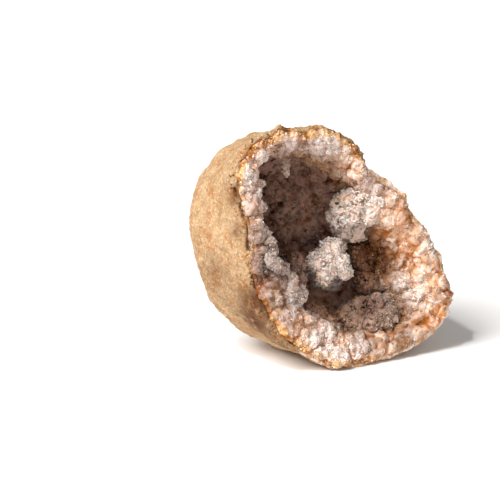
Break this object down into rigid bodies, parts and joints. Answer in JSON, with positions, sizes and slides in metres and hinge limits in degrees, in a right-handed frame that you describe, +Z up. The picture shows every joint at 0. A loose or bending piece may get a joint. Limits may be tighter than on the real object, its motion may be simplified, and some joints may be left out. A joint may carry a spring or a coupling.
{
  "type": "geode half",
  "caption": "Broken half of a quartz geode: a thin tan limestone rind round a thick pink and white quartz wall, with a crystal-lined cavity open to the front.",
  "frame": {"origin": "bottom centre of the stone's bounding box, on the surface it stands on", "axes": "+Z up, +X to the right across the broken face, +Y into the stone; the broken face and the cavity look along -Y and lean back 8 degrees"},
  "size_m": [0.1266, 0.0762, 0.1227],
  "materials": {
    "rind": "weathered, sandy ochre limestone",
    "quartz_wall": "rough broken quartz, frosted white to peach",
    "druse": "drusy quartz, small glinting points"
  },
  "bodies": {
    "root": {"rind": "rind", "quartz_wall": "quartz_wall", "centre_cluster": "druse", "shoulder_cluster": "druse", "right_ridge": "druse", "roof_finger": "druse", "left_knob": "druse", "left_ledge": "druse", "grey_nodules": "druse", "back_nodules": "druse", "floor_nodules": "druse", "floor_ridge": "druse"}
  },
  "joints": []
}
